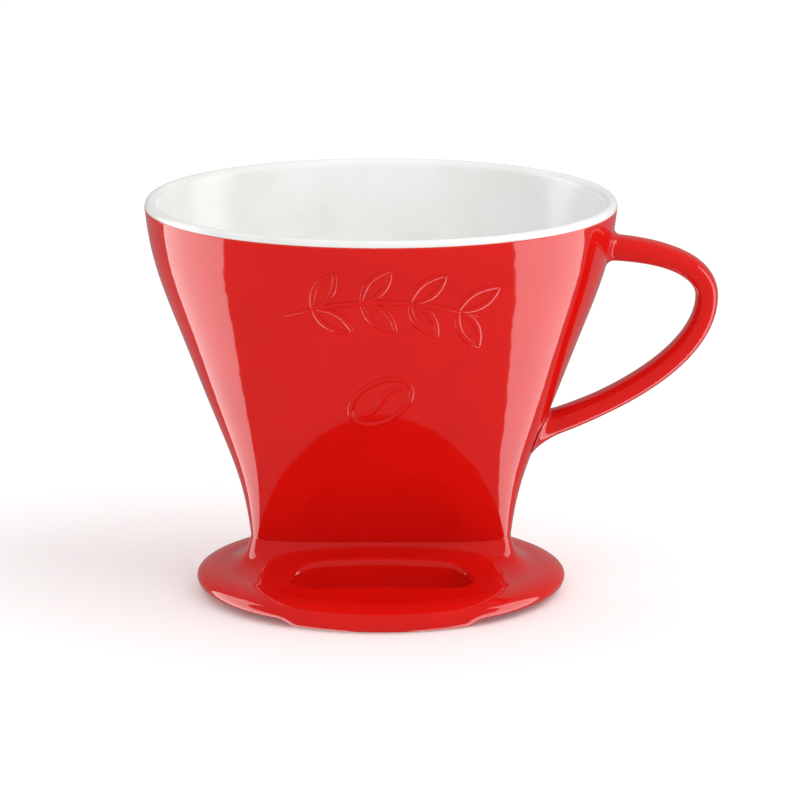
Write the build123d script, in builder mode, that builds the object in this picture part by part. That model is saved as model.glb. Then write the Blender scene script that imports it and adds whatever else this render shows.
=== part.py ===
from build123d import *
import os
from math import atan2, cos, degrees, pi, radians, sin

# A porcelain pour-over dripper: a funnel, a handle and a base plate, thrown or cast on their own,
# joined with slip and then glazed. Millimetres, +Z up. The origin is on the funnel's axis, in the
# plane of the plate's flat underside, which rests on a cup. +X points to the handle, -Y is the front.

# ---- funnel, measured over its colour glaze
LIP_TOP = 107.5  # the lip above the plate's underside
RIM_HALF_WIDTH = 64.6  # along X, towards the handle
RIM_HALF_DEPTH = 56.5  # along Y
RIM_FULLNESS = 0.568  # 0.552 is an ellipse, and 1 is an oblong with tight corners
FOOT_HALF_WIDTH = 35.5
FOOT_HALF_DEPTH = 8.0
FOOT_FULLNESS = 0.95
FOOT_TOP = 12.3  # where the funnel leaves the plate
FOOT_END = 0.8  # the funnel's foot stops this far above the plate's underside
SIDE_BULGE = 0.013  # the two sides, seen from the front, are a straight line with a slight bulge
SIDE_S = 0.068  # and an S, as shares of its whole spread
SIDE_S_ENDS = 0.014  # and a finer S, which keeps both ends steep
STATIONS = 8  # spans between the level slices that the funnel is lofted through
WALL = 3.6  # body and glaze together, measured level
GLAZE = 0.4
LIP_ROUND = 1.4
GLAZE_LINE = 2.2  # the colour glaze stops this far below the lip's top

# ---- drain floor, inside the foot
FLOOR_TOP = 6.8
DRAIN_RADIUS = 2.25
DRAIN_MOUTH = 3.6  # radius of the countersunk mouth
DRAIN_ANGLE = 110

# ---- ribs, which hold the paper off the wall, the same on the front and back walls
RIBS = 9
RIB_PITCH = 6.6
RIB_FAN = 11  # lean of the outermost rib, in degrees
RIB_WIDTH = 1.7
RIB_HEIGHT = 1.0
RIB_DROP = 34  # from the lip to the ribs' upper ends
RIB_ROOT = 1.2  # how deep a rib's back lies in the wall

# ---- base plate
PLATE_RADIUS = 50.5
PLATE_MIDDLE = 2.2  # height of the edge's outermost line
PLATE_ROLL_WIDTH = 8.0  # above that line the edge rolls inwards as a quarter ellipse
PLATE_ROLL_HEIGHT = 3.1  # the roll's own height
PLATE_LOW_WIDTH = 1.9  # and below it as a smaller one, down to the underside
PLATE_FLAT = 1.4  # flat ring between the roll and the flare
SHELF_WIDTH = 2.0  # the shelf around the foot, which the slip joint fills
SHELF_DROP = 0.7  # its depth below the foot's top
FLARE_SLOPE = 0.45  # share of the plate's rise to the shelf that is a straight slope
FLARE_POWER = 4.0  # and the rest sweeps up by this power
FLARE_SPANS = 6
ELLIPSE = 0.552  # the fullness of a true ellipse
BEAD_HEIGHT = 2.2  # the slip joint around the foot, above the shelf
BEAD_LIP = 0.3  # its feather edge, over the funnel
BEAD_HOLLOW = ((0, 1), (0.25, 0.5), (0.5, 0.22), (1, 0))  # its hollow face: height, width
WINDOW_LENGTH = 49.0
WINDOW_NEAR = 14.0  # from the axis to the window's inner side
WINDOW_WIDTH = 15.0

# ---- the two lips under the plate's edge, which keep it from sliding off a cup
LIP_DROP = 1.7
LIP_HALF_LENGTH = 23.8
LIP_SWEEP = 4.2  # radius of the hollow that fairs each end into the plate
LIP_INSET = 0.6  # its outer side lies this far inside the plate's edge
LIP_THICK = 5.4
LIP_EDGE_ROUND = 0.7

# ---- handle, on a path of two cubic curves in the XZ plane
HANDLE_DROP = 13.5  # from the lip to the path's upper end
HANDLE_SPAN = 50.0  # from the path's upper end to its lower end
HANDLE_REACH = 24.3  # from the rim to the path's outermost point
HANDLE_OUT_DROP = 27.0  # from the lip to that outermost point
HANDLE_TOP_LEAN = -3.5  # direction of the path where it leaves the wall, in degrees
HANDLE_LOW_LEAN = 18.0  # and where it comes back to the wall
HANDLE_PULLS = (17.0, 7.5, 15.0, 25.0)  # how far each curve follows its end directions
HANDLE_THICK = 6.2
HANDLE_ROOT_THICK = 7.0
HANDLE_DEPTH = 10.5
HANDLE_FULLNESS = 0.70
HANDLE_SPANS = 26
UPPER_JOINT = 4.0  # lengths of the slip joints along the path
LOWER_JOINT = 6.5
JOINT_BURY = 3.0  # a slip joint's shape runs on this far past the wall's surface, and is trimmed
JOINT_SPREAD = 1.7  # how far a joint spreads on the wall
JOINT_LOW_SAG = 1.8  # how much further the lower joint spreads downwards
JOINT_POWER = 2.5  # how suddenly a joint flares
JOINT_SPANS = 4

# ---- relief on the front wall: a leafy sprig with a coffee bean under it
RELIEF_HEIGHT = 0.6
SPRIG_Z = 84.0
SPRIG_HALF_LENGTH = 26.0
SPRIG_ARCH = 5.0
STEM_WIDTH = 1.8
LEAF_PAIRS = 4
LEAF_LENGTH = 13.0
LEAF_WIDTH = 4.6
LEAF_LEAN = 48.0
LEAF_SHIFT = 0.6  # place of the leaves within their stretch of the stem
BEAN_Z = 58.0
BEAN_LENGTH = 19.0
BEAN_WIDTH = 12.5
BEAN_TILT = 35.0
BEAN_GROOVE = 1.5


def mix(start, end, share):
    return start + (end - start) * share


def height_share(z):
    """Share of the way from the foot up to the lip. The front and back walls are straight in it."""
    return min(max((z - FOOT_TOP) / (LIP_TOP - FOOT_TOP), 0.0), 1.0)


def spread(z):
    """Share of the way from the foot's width to the rim's width at height z."""
    s = height_share(z)
    curve = SIDE_BULGE * sin(pi * s) - SIDE_S * sin(2 * pi * s) - SIDE_S_ENDS * sin(4 * pi * s)
    return s + curve


def half_width(z):
    return mix(FOOT_HALF_WIDTH, RIM_HALF_WIDTH, spread(z))


def half_depth(z):
    return mix(FOOT_HALF_DEPTH, RIM_HALF_DEPTH, height_share(z))


def fullness(z):
    return mix(FOOT_FULLNESS, RIM_FULLNESS, spread(z) ** 0.5)


def oval(plane, a, b, full):
    """A face bounded by four cubic curves, from an ellipse to a rounded oblong."""
    with BuildSketch(plane) as face:
        with BuildLine():
            Bezier((a, 0), (a, full * b), (full * a, b), (0, b))
            Bezier((0, b), (-full * a, b), (-a, full * b), (-a, 0))
            Bezier((-a, 0), (-a, -full * b), (-full * a, -b), (0, -b))
            Bezier((0, -b), (full * a, -b), (a, -full * b), (a, 0))
        make_face()
    return face.sketch.face()


def slices(low, high, inset):
    """The funnel's level slices from one height to another, inset from its outer surface."""
    heights = [mix(low, high, i / STATIONS) for i in range(STATIONS + 1)]
    return [
        oval(Plane.XY.offset(z), half_width(z) - inset, half_depth(z) - inset, fullness(z))
        for z in heights
    ]


def foot_slice(z, grow):
    """The foot's outline at height z, grown outwards."""
    a, b = FOOT_HALF_WIDTH + grow, FOOT_HALF_DEPTH + grow
    return oval(Plane.XY.offset(z), a, b, FOOT_FULLNESS)


# ---- shapes that several pieces are made from or trimmed to

with BuildPart() as core:  # the funnel filled in, out to the porcelain's own surface
    loft(slices(FOOT_TOP, LIP_TOP, GLAZE))
    extrude(foot_slice(FOOT_END, -GLAZE), amount=FOOT_TOP - FOOT_END, dir=(0, 0, 1))

with BuildPart() as glazed_cone:  # the same above the plate, out to the colour glaze's surface
    loft(slices(FOOT_TOP, LIP_TOP, 0))

with BuildPart() as hollow:  # the space inside the funnel, down through its foot
    loft(slices(FOOT_TOP, LIP_TOP, WALL))
    extrude(foot_slice(FOOT_END, -WALL), amount=FOOT_TOP - FOOT_END, dir=(0, 0, 1))

with BuildPart() as paper_space:  # what the ribs leave free
    loft(slices(FOOT_TOP, LIP_TOP, WALL + RIB_HEIGHT))

with BuildPart() as wall_middle:  # the ribs are rooted this deep in the wall
    loft(slices(FOOT_TOP, LIP_TOP, WALL - RIB_ROOT))

# ---- funnel body: white porcelain, with the ribs moulded in and a rounded lip

with BuildPart() as ribs:
    for i in range(RIBS):
        side = i - (RIBS - 1) / 2
        lean = RIB_FAN * side / ((RIBS - 1) / 2)
        with Locations(Location((side * RIB_PITCH, 0, FOOT_TOP + RIB_HEIGHT), (0, lean, 0))):
            Box(
                RIB_WIDTH,
                4 * RIM_HALF_DEPTH,
                LIP_TOP - RIB_DROP - FOOT_TOP,
                align=(Align.CENTER, Align.CENTER, Align.MIN),
            )
    add(wall_middle.part, mode=Mode.INTERSECT)
    add(paper_space.part, mode=Mode.SUBTRACT)

with BuildPart() as lip_band:  # the white lip stands out over the body by the glaze's thickness
    with BuildSketch(Plane.XY.offset(LIP_TOP - GLAZE_LINE)):
        Rectangle(4 * RIM_HALF_WIDTH, 4 * RIM_HALF_WIDTH)
    extrude(amount=GLAZE_LINE)
    add(glazed_cone.part, mode=Mode.INTERSECT)

with BuildPart() as funnel_body:
    add(core.part)
    add(lip_band.part)
    add(hollow.part, mode=Mode.SUBTRACT)
    fillet(funnel_body.edges().group_by(Axis.Z)[-1], LIP_ROUND)
    add(ribs.part)
funnel_body.part.label = "funnel_body"

# ---- drain floor: closes the foot, with the one hole that sets the flow

with BuildPart() as drain_floor:
    extrude(foot_slice(FOOT_END, -WALL), amount=FLOOR_TOP - FOOT_END, dir=(0, 0, 1))
    with Locations((0, 0, FLOOR_TOP)):
        CounterSinkHole(DRAIN_RADIUS, DRAIN_MOUTH, counter_sink_angle=DRAIN_ANGLE)
drain_floor.part.label = "drain_floor"

# ---- base plate: a round saucer that sweeps up to the funnel's foot


def plate_slice(share):
    """The plate's top at a share of the way from its rolled edge to the shelf around the foot."""
    rise = FLARE_SLOPE * share + (1 - FLARE_SLOPE) * share**FLARE_POWER
    z = mix(PLATE_MIDDLE + PLATE_ROLL_HEIGHT, FOOT_TOP - SHELF_DROP, rise)
    rim = PLATE_RADIUS - PLATE_ROLL_WIDTH - PLATE_FLAT
    a = mix(rim, FOOT_HALF_WIDTH + SHELF_WIDTH, share)
    b = mix(rim, FOOT_HALF_DEPTH + SHELF_WIDTH, share)
    return oval(Plane.XY.offset(z), a, b, mix(ELLIPSE, FOOT_FULLNESS, share))


with BuildPart() as lips:  # a ring under the edge, cut to two short arcs with hollow ends
    with BuildSketch(Plane.XZ):
        with Locations((PLATE_RADIUS - LIP_INSET, -LIP_DROP)):
            Rectangle(LIP_THICK, LIP_DROP + PLATE_MIDDLE, align=(Align.MAX, Align.MIN))
    revolve(axis=Axis.Z)
    fillet(lips.edges().group_by(Axis.Z)[0], LIP_EDGE_ROUND)
    with BuildSketch(Plane.XZ.offset(-2 * PLATE_RADIUS)):
        with BuildLine():
            half = LIP_HALF_LENGTH
            low = -LIP_DROP
            top = (half + LIP_SWEEP, low + LIP_SWEEP)
            Line((0, low), (half, low))
            RadiusArc((half, low), top, -LIP_SWEEP)
            Polyline(top, (0, top[1]), (0, low))
        make_face()
        mirror(about=Plane.YZ)
    extrude(amount=4 * PLATE_RADIUS, mode=Mode.INTERSECT)

with BuildPart() as base_plate:
    with BuildSketch(Plane.XZ):
        with BuildLine():
            low = (PLATE_RADIUS - PLATE_LOW_WIDTH, PLATE_MIDDLE)
            roll = (PLATE_RADIUS - PLATE_ROLL_WIDTH, PLATE_MIDDLE)
            top = PLATE_MIDDLE + PLATE_ROLL_HEIGHT
            EllipticalCenterArc(low, PLATE_LOW_WIDTH, PLATE_MIDDLE, start_angle=270)
            EllipticalCenterArc(roll, PLATE_ROLL_WIDTH, PLATE_ROLL_HEIGHT)
            Polyline((roll[0], top), (0, top), (0, 0), (low[0], 0))
        make_face()
    revolve(axis=Axis.Z)
    loft([plate_slice(i / FLARE_SPANS) for i in range(FLARE_SPANS + 1)])
    extrude(foot_slice(0, -GLAZE), amount=FOOT_TOP, dir=(0, 0, 1), mode=Mode.SUBTRACT)
    with BuildSketch():
        with Locations((0, WINDOW_NEAR + WINDOW_WIDTH / 2), (0, -WINDOW_NEAR - WINDOW_WIDTH / 2)):
            SlotOverall(WINDOW_LENGTH, WINDOW_WIDTH)
    extrude(amount=FOOT_TOP, mode=Mode.SUBTRACT)
    add(lips.part)
base_plate.part.label = "base_plate"

# ---- slip joint at the foot: a hollow bead that fills the plate's seat around the funnel

with BuildPart() as base_slip_joint:
    shelf = FOOT_TOP - SHELF_DROP
    loft([
        foot_slice(shelf + BEAD_HEIGHT * height, mix(BEAD_LIP, SHELF_WIDTH, width))
        for height, width in BEAD_HOLLOW
    ])
    extrude(foot_slice(0, -GLAZE), amount=LIP_TOP, dir=(0, 0, 1), mode=Mode.SUBTRACT)
    add(core.part, mode=Mode.SUBTRACT)
base_slip_joint.part.label = "base_slip_joint"

# ---- handle, with a slip joint at each end

top_z = LIP_TOP - HANDLE_DROP
low_z = top_z - HANDLE_SPAN
out = Vector(RIM_HALF_WIDTH + HANDLE_REACH, 0, LIP_TOP - HANDLE_OUT_DROP)
start = Vector(half_width(top_z) - GLAZE, 0, top_z)
end = Vector(half_width(low_z) - GLAZE, 0, low_z)
lead_out = Vector(cos(radians(HANDLE_TOP_LEAN)), 0, sin(radians(HANDLE_TOP_LEAN)))
lead_in = Vector(cos(radians(HANDLE_LOW_LEAN)), 0, sin(radians(HANDLE_LOW_LEAN)))
up = Vector(0, 0, 1)
pull = HANDLE_PULLS

with BuildLine() as handle_path:
    Line(start - lead_out * JOINT_BURY, start)
    Bezier(start, start + lead_out * pull[0], out + up * pull[1], out)
    Bezier(out, out - up * pull[2], end + lead_in * pull[3], end)
    Line(end, end - lead_in * JOINT_BURY)
path = handle_path.wire()


def across(distance, thick, deep, sag=0.0):
    """The handle's section at a distance along its path, which starts inside the wall."""
    where = path.position_at(distance, position_mode=PositionMode.LENGTH)
    way = path.tangent_at(distance, position_mode=PositionMode.LENGTH)
    plane = Plane(where - up * sag, x_dir=(0, 1, 0), z_dir=way)
    return oval(plane, deep / 2, thick / 2, HANDLE_FULLNESS)


first = JOINT_BURY + UPPER_JOINT
last = path.length - JOINT_BURY - LOWER_JOINT


def handle_thick(distance):
    """Thickest at its two roots, and thinnest half-way."""
    share = (distance - first) / (last - first)
    return mix(HANDLE_THICK, HANDLE_ROOT_THICK, (2 * share - 1) ** 2)


with BuildPart() as handle:
    stops = [mix(first, last, i / HANDLE_SPANS) for i in range(HANDLE_SPANS + 1)]
    loft([across(stop, handle_thick(stop), HANDLE_DEPTH) for stop in stops])
handle.part.label = "handle"


def slip_joint(root, tip, low):
    """A flared collar from the handle's end at tip to the path's end inside the wall at root."""
    collar = []
    for i in range(JOINT_SPANS + 1):
        share = i / JOINT_SPANS
        flare = share**JOINT_POWER
        thick = HANDLE_ROOT_THICK + (2 * JOINT_SPREAD + low) * flare
        deep = HANDLE_DEPTH + 2 * JOINT_SPREAD * flare
        collar.append(across(mix(tip, root, share), thick, deep, low * flare / 2))
    return collar


with BuildPart() as handle_upper_slip_joint:
    loft(slip_joint(0, first, 0))
    add(core.part, mode=Mode.SUBTRACT)
handle_upper_slip_joint.part.label = "handle_upper_slip_joint"

with BuildPart() as handle_lower_slip_joint:
    loft(slip_joint(path.length, last, JOINT_LOW_SAG))
    add(core.part, mode=Mode.SUBTRACT)
handle_lower_slip_joint.part.label = "handle_lower_slip_joint"

# ---- colour glaze: a thin coat on the funnel's outside, with the three joints showing through

with BuildPart() as funnel_colour_glaze:
    add(glazed_cone.part)
    add(core.part, mode=Mode.SUBTRACT)
    add(lip_band.part, mode=Mode.SUBTRACT)
    add(handle_upper_slip_joint.part, mode=Mode.SUBTRACT)
    add(handle_lower_slip_joint.part, mode=Mode.SUBTRACT)
    add(base_slip_joint.part, mode=Mode.SUBTRACT)
funnel_colour_glaze.part.label = "funnel_colour_glaze"

# ---- relief mark: a leafy sprig over a coffee bean, raised on the front wall


def stem_at(x):
    """Height and direction of the sprig's stem at x, an arch that is highest in the middle."""
    share = x / SPRIG_HALF_LENGTH
    slope = degrees(atan2(-2 * SPRIG_ARCH * share, SPRIG_HALF_LENGTH))
    return SPRIG_Z + SPRIG_ARCH * (1 - share**2), slope


def leaf():
    """A leaf's outline, from its stalk at the origin along +X."""
    with BuildSketch() as blade:
        with BuildLine():
            ThreePointArc((0, 0), (LEAF_LENGTH / 2, LEAF_WIDTH / 2), (LEAF_LENGTH, 0))
            ThreePointArc((LEAF_LENGTH, 0), (LEAF_LENGTH / 2, -LEAF_WIDTH / 2), (0, 0))
        make_face()
    return blade.sketch


with BuildPart() as relief_layer:
    loft(slices(FOOT_TOP, LIP_TOP, -RELIEF_HEIGHT))
    add(glazed_cone.part, mode=Mode.SUBTRACT)

with BuildPart() as relief_mark:
    with BuildSketch(Plane.XZ):
        with BuildLine():
            ends = SPRIG_HALF_LENGTH
            ThreePointArc((-ends, SPRIG_Z), (0, SPRIG_Z + SPRIG_ARCH), (ends, SPRIG_Z))
        trace(line_width=STEM_WIDTH)
        for i in range(LEAF_PAIRS):
            x = mix(-ends, ends, (i + LEAF_SHIFT) / LEAF_PAIRS)
            height, slope = stem_at(x)
            for lean in (LEAF_LEAN, -LEAF_LEAN):
                with Locations(Location((x, height), slope + lean)):
                    add(leaf())
        with Locations(Location((0, BEAN_Z), BEAN_TILT)):
            Ellipse(BEAN_LENGTH / 2, BEAN_WIDTH / 2)
        with Locations(Location((0, BEAN_Z), BEAN_TILT)):
            Rectangle(BEAN_LENGTH, BEAN_GROOVE, mode=Mode.SUBTRACT)
    extrude(amount=2 * RIM_HALF_DEPTH)
    add(relief_layer.part, mode=Mode.INTERSECT)
relief_mark.part.label = "relief_mark"

# ---- one file for each piece

os.makedirs("parts", exist_ok=True)
for piece in (
    funnel_body,
    drain_floor,
    funnel_colour_glaze,
    base_plate,
    base_slip_joint,
    handle,
    handle_upper_slip_joint,
    handle_lower_slip_joint,
    relief_mark,
):
    export_step(piece.part, f"parts/{piece.part.label}.step")
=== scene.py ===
import logging
import math
from dataclasses import dataclass, replace
from enum import Enum
from functools import partial
from typing import Any, Sequence

import bmesh
import bpy
import numpy as np
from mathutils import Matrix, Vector
from mathutils.geometry import delaunay_2d_cdt


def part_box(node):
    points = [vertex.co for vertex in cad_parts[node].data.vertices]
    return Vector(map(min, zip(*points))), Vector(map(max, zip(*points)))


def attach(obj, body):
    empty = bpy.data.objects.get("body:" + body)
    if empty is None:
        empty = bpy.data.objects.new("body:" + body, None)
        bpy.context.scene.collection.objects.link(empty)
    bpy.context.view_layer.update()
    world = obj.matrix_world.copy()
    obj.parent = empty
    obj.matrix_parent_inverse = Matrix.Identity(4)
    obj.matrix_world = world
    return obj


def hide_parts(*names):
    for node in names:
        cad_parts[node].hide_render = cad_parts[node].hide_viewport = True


# The looks of a glazed porcelain pour-over dripper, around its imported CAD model. Everything is in
# metres, in the CAD frame: +Z up the funnel's axis, +X to the handle, -Y to the front wall.

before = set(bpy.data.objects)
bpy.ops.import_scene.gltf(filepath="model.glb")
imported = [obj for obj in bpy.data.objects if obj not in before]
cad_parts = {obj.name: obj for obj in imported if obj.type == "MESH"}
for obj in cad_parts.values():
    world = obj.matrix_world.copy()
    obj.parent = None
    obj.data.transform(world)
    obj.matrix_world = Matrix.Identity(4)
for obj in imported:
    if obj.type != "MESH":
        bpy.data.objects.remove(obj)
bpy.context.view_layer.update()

MM = 0.001
TAU = 2 * math.pi
ROUND = 0.552  # the fullness that makes an oval an ellipse
log = logging.getLogger("dripper")

Socket = bpy.types.NodeSocket
Point = tuple[float, float, float]


# ---- small helpers


def linear(colour: str) -> tuple[float, float, float, float]:
    """Turns an sRGB hex colour into linear RGBA.

    Args:
        colour: six hex digits, such as "C81E14".

    Returns:
        The four channels that a shader socket takes.
    """
    parts = [int(colour[i : i + 2], 16) / 255 for i in (0, 2, 4)]
    lin = [c / 12.92 if c <= 0.04045 else ((c + 0.055) / 1.055) ** 2.4 for c in parts]
    return (lin[0], lin[1], lin[2], 1.0)


def add_node(tree: bpy.types.NodeTree, kind: str, inputs: Any = (), **settings: Any) -> bpy.types.Node:
    """Adds a node, sets its properties, and links or sets its inputs.

    Args:
        tree: the node tree to add to.
        kind: the node's type name.
        inputs: values or sockets, as a list in socket order or a dict by socket name or number.
        settings: the node's own properties.

    Returns:
        The new node.
    """
    node = tree.nodes.new(kind)
    for name, value in settings.items():
        setattr(node, name, value)
    for key, value in inputs.items() if isinstance(inputs, dict) else enumerate(inputs):
        if isinstance(value, bpy.types.Node):
            value = value.outputs[0]
        if isinstance(value, bpy.types.NodeSocket):
            tree.links.new(value, node.inputs[key])
        else:
            node.inputs[key].default_value = value
    return node


def mix(start: float, end: float, share: Any) -> Any:
    """The value a share of the way from start to end."""
    return start + (end - start) * share


def smooth(share: Any) -> Any:
    """A share from 0 to 1, eased at both ends."""
    s = np.clip(share, 0.0, 1.0)
    return s * s * (3 - 2 * s)


def quarter(t: Any, full: Any) -> Any:
    """One coordinate of a unit quarter curve that runs from an ellipse's to a rounded oblong's.

    Args:
        t: how far along the quarter, from 0 to 1.
        full: the fullness, ROUND for an ellipse and near 1 for an oblong.

    Returns:
        The coordinate, which falls from 1 to 0.
    """
    return (1 - t) * ((1 - t) * (1 + 2 * t) + 3 * full * t * t)


def oval(a: float, b: float, full: float, count: int) -> np.ndarray:
    """Points round a level oval, anticlockwise from +X.

    Args:
        a: half its length along X.
        b: half its width along Y.
        full: its fullness.
        count: how many points.

    Returns:
        A count by 2 array.
    """
    turn = np.arange(count) / count * 4
    t = np.abs(turn % 2)
    t = np.where(t > 1, 2 - t, t)
    side_x = np.where((turn < 1) | (turn > 3), 1.0, -1.0)
    side_y = np.where(turn < 2, 1.0, -1.0)
    return np.stack([side_x * a * quarter(t, full), side_y * b * quarter(1 - t, full)], 1)


def mesh_object(name: str, points: np.ndarray, faces: Sequence[Sequence[int]]) -> bpy.types.Object:
    """Makes a smooth-shaded mesh object at the origin.

    Args:
        name: the object's and the mesh's name.
        points: the vertices.
        faces: the vertex numbers of each face.

    Returns:
        The object, linked to the scene.
    """
    mesh = bpy.data.meshes.new(name)
    mesh.from_pydata([tuple(map(float, p)) for p in points], [], [list(map(int, f)) for f in faces])
    mesh.shade_smooth()
    mesh.update()
    piece = bpy.data.objects.new(name, mesh)
    bpy.context.scene.collection.objects.link(piece)
    return piece


def ring_faces(rings: int, count: int, closed: bool = False) -> list[tuple[int, int, int, int]]:
    """The four-sided faces between rings of points.

    Args:
        rings: how many rings.
        count: how many points each ring has.
        closed: whether the last ring joins the first.

    Returns:
        The vertex numbers of each face.
    """
    faces = []
    for r in range(rings if closed else rings - 1):
        low, high = r * count, (r + 1) % rings * count
        for i in range(count):
            j = (i + 1) % count
            faces.append((low + i, low + j, high + j, high + i))
    return faces


def bake_nodes(
    name: str, base: bpy.types.Object, tree: bpy.types.NodeTree, values: dict[str, Any]
) -> bpy.types.Object:
    """Runs a Geometry Nodes tree on an object and keeps the result as a plain mesh.

    Args:
        name: the finished piece's name.
        base: the object whose geometry the tree starts from, which is removed.
        tree: the tree.
        values: the tree's inputs, by name.

    Returns:
        A mesh object at the origin, with no modifier.
    """
    modifier = base.modifiers.new(name, "NODES")
    modifier.node_group = tree
    for item in tree.interface.items_tree:
        if item.item_type == "SOCKET" and item.in_out == "INPUT" and item.name in values:
            modifier[item.identifier] = values[item.name]
    bpy.context.view_layer.update()
    graph = bpy.context.evaluated_depsgraph_get()
    mesh = bpy.data.meshes.new_from_object(base.evaluated_get(graph))
    mesh.name = name
    mesh.shade_smooth()
    bpy.data.objects.remove(base)
    piece = bpy.data.objects.new(name, mesh)
    bpy.context.scene.collection.objects.link(piece)
    return piece


SOCKET_KINDS = {
    int: "NodeSocketInt",
    float: "NodeSocketFloat",
    bpy.types.Object: "NodeSocketObject",
    bpy.types.Material: "NodeSocketMaterial",
}


def new_tree(name: str, values: dict[str, Any]) -> tuple[bpy.types.NodeTree, dict[str, Socket]]:
    """Starts a Geometry Nodes tree with a geometry input and an input for each named value.

    Args:
        name: the tree's name.
        values: what each input will be set to, by the input's name.

    Returns:
        The tree, and its input sockets by name.
    """
    tree = bpy.data.node_groups.new(name, "GeometryNodeTree")
    tree.interface.new_socket("Geometry", in_out="INPUT", socket_type="NodeSocketGeometry")
    for key, value in values.items():
        tree.interface.new_socket(key, in_out="INPUT", socket_type=SOCKET_KINDS[type(value)])
    tree.interface.new_socket("Geometry", in_out="OUTPUT", socket_type="NodeSocketGeometry")
    entry = tree.nodes.new("NodeGroupInput")
    return tree, {s.name: s for s in entry.outputs if s.name}


def run_steps(tree: bpy.types.NodeTree, known: dict[str, Any], steps: Sequence[Sequence[Any]]) -> None:
    """Adds a chain of maths nodes.

    Args:
        tree: the node tree.
        known: values and sockets by name, which gains the result of each step.
        steps: for each step the result's name, the operation, and its operands, as names or numbers.
    """
    for name, operation, *operands in steps:
        values = [known[v] if isinstance(v, str) else v for v in operands]
        known[name] = add_node(tree, "ShaderNodeMath", values, operation=operation).outputs[0]


# A unit oval's two coordinates from "turn", 0 to 1 round it, and its fullness, "full".
OVAL_STEPS = (
    ("full_3", "MULTIPLY", "full", 3.0),
    ("quarters", "MULTIPLY", "turn", 4.0),
    ("t", "PINGPONG", "quarters", 1.0),
    ("m", "SUBTRACT", 1.0, "t"),
    ("tt", "MULTIPLY", "t", "t"),
    ("mm", "MULTIPLY", "m", "m"),
    ("x_1", "MULTIPLY_ADD", "t", 2.0, 1.0),
    ("x_2", "MULTIPLY", "x_1", "m"),
    ("x_3", "MULTIPLY_ADD", "full_3", "tt", "x_2"),
    ("x_4", "MULTIPLY", "x_3", "m"),
    ("y_1", "MULTIPLY_ADD", "m", 2.0, 1.0),
    ("y_2", "MULTIPLY", "y_1", "t"),
    ("y_3", "MULTIPLY_ADD", "full_3", "mm", "y_2"),
    ("y_4", "MULTIPLY", "y_3", "t"),
    ("angle", "MULTIPLY", "turn", TAU),
    ("cosine", "COSINE", "angle"),
    ("sine", "SINE", "angle"),
    ("side_x", "SIGN", "cosine"),
    ("side_y", "SIGN", "sine"),
    ("unit_x", "MULTIPLY", "x_4", "side_x"),
    ("unit_y", "MULTIPLY", "y_4", "side_y"),
)


def end_tree(tree: bpy.types.NodeTree, geometry: Any, material: Socket) -> None:
    """Ends a tree in Realize Instances and Set Material."""
    real = add_node(tree, "GeometryNodeRealizeInstances", [geometry])
    dressed = add_node(tree, "GeometryNodeSetMaterial", {"Geometry": real, "Material": material})
    add_node(tree, "NodeGroupOutput", [dressed])


def grid_shares(tree: bpy.types.NodeTree, sockets: dict[str, Socket]) -> tuple[Any, Socket, Socket]:
    """Adds a unit grid, and gives it with how far round and how far along each point is."""
    grid = add_node(tree, "GeometryNodeMeshGrid", [1.0, 1.0, sockets["Around"], sockets["Rows"]])
    place = add_node(tree, "GeometryNodeInputPosition")
    shifted = add_node(tree, "ShaderNodeVectorMath", [place, (0.5, 0.5, 0.0)], operation="ADD")
    parts = add_node(tree, "ShaderNodeSeparateXYZ", [shifted])
    return grid, parts.outputs["X"], parts.outputs["Y"]


def share_between(tree: bpy.types.NodeTree, value: Any, low: Any, high: Any) -> Socket:
    """Adds the node that gives how far value is from low to high, kept from 0 to 1."""
    ends = {"Value": value, "From Min": low, "From Max": high}
    return add_node(tree, "ShaderNodeMapRange", ends).outputs[0]


def close_grid(tree: bpy.types.NodeTree, grid: Any, point: Socket, material: Socket) -> bpy.types.NodeTree:
    """Moves a grid's points to their places, closes its seams and poles, and ends the tree."""
    moved = add_node(tree, "GeometryNodeSetPosition", {"Geometry": grid, "Position": point})
    reach = {"Geometry": moved, "Distance": 0.004 * MM}
    closed = add_node(tree, "GeometryNodeMergeByDistance", reach)
    end_tree(tree, closed, material)
    return tree


def clean(piece: bpy.types.Object, reach: float = 0.0) -> None:
    """Merges doubled points, drops stray faces, and turns every face outwards."""
    shape = bmesh.new()
    shape.from_mesh(piece.data)
    if reach:
        bmesh.ops.remove_doubles(shape, verts=shape.verts, dist=reach)
    bmesh.ops.dissolve_degenerate(shape, edges=shape.edges, dist=1e-7)
    bmesh.ops.recalc_face_normals(shape, faces=shape.faces)
    if shape.calc_volume(signed=True) < 0:
        bmesh.ops.reverse_faces(shape, faces=shape.faces)
    shape.to_mesh(piece.data)
    shape.free()
    piece.data.shade_smooth()


def dress(piece: bpy.types.Object, slot: str, *nodes: str) -> bpy.types.Object:
    """Puts a finished piece on the body, and lets it stand for CAD nodes, which are hidden."""
    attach(piece, "root")
    if nodes:
        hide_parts(*nodes)
    return piece


# ---- finishes


class Tint(Enum):
    """The colours of the dripper's glazes and clay, in sRGB hex."""

    RED = "D9110A"
    RED_DEEP = "D20F09"
    RED_THIN = "E8392C"
    WHITE = "F2F3F2"
    WHITE_WARM = "EAE9E4"
    BISQUE = "E6DFD2"


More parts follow.
